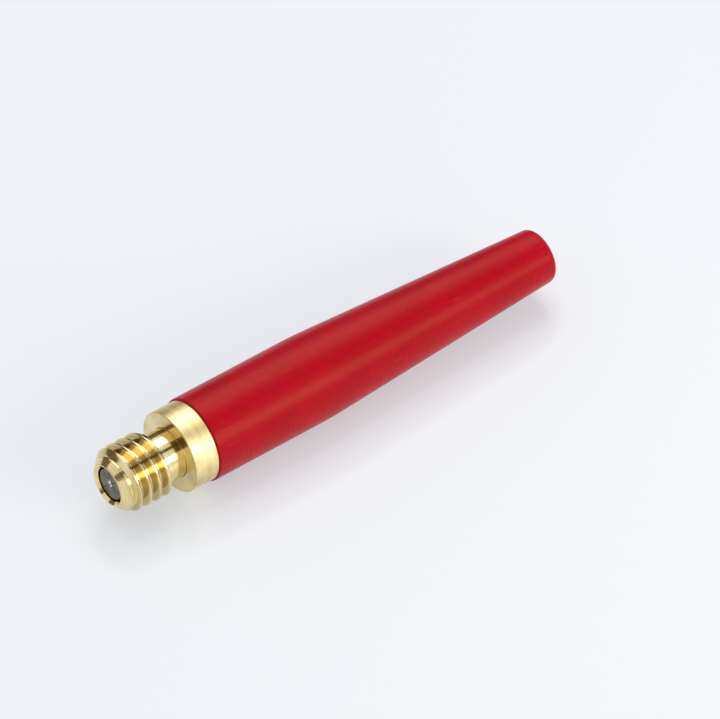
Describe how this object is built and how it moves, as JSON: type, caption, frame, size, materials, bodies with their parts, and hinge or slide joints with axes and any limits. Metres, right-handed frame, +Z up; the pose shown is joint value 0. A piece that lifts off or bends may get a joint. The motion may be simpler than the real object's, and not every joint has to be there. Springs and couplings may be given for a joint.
{
  "type": "pin vise drill",
  "caption": "Hand pin vise: tapered plastic handle, brass collar, threaded brass chuck nose with a sprung split collet, and drill storage in the handle.",
  "frame": {"origin": "centre of the brass collar's front face, on the tool's axis, where a chuck cap stops", "axes": "+X along the tool's axis towards the palm end of the handle, -X out of the threaded nose, +Z up with the tool lying on its side"},
  "size_m": [0.0924, 0.0154, 0.0152],
  "materials": {
    "red_acetal": "turned acetal rod, semi-gloss, with fine rings from the lathe tool",
    "turned_brass": "turned and polished brass",
    "blackened_steel": "hardened and oil-blackened steel, faced on the lathe",
    "spring_steel": "bright drawn spring wire and washer"
  },
  "bodies": {
    "handle": {"handle_grip": "red_acetal", "handle_insert": "turned_brass"},
    "collar": {"collar_ring": "turned_brass"},
    "nose": {"nose_body": "turned_brass", "collar_snap_ring": "spring_steel", "collet_spring": "spring_steel"},
    "collet": {"collet": "blackened_steel", "collet_snap_ring": "spring_steel"},
    "seat": {"spring_seat": "spring_steel"},
    "stop": {"stop_screw": "blackened_steel"}
  },
  "joints": [
    {"name": "collar_travel", "type": "slide", "parent": "handle", "child": "collar", "axis": [-1, 0, 0], "range_m": [0, 0.008]},
    {"name": "nose_turn", "type": "hinge", "parent": "collar", "child": "nose", "pos_m": [0, 0, 0], "axis": [-1, 0, 0], "range_deg": [-0.5, 2880.5]},
    {"name": "collet_slide", "type": "slide", "parent": "nose", "child": "collet", "axis": [1, 0, 0], "range_m": [0, 0.0012], "stiffness_N_per_m": 600, "springref_m": -0.0015, "deforming": ["collet_spring"]},
    {"name": "seat_travel", "type": "slide", "parent": "nose", "child": "seat", "axis": [1, 0, 0], "range_m": [0, 0.0005]},
    {"name": "stop_turn", "type": "hinge", "parent": "seat", "child": "stop", "pos_m": [0, 0, 0], "axis": [1, 0, 0], "range_deg": [-0.5, 360.5]}
  ],
  "couplings": [
    {"joint": "nose_turn", "follows": "collar_travel", "rad_per_m": 6283.2},
    {"joint": "stop_turn", "follows": "seat_travel", "rad_per_m": 12566}
  ]
}
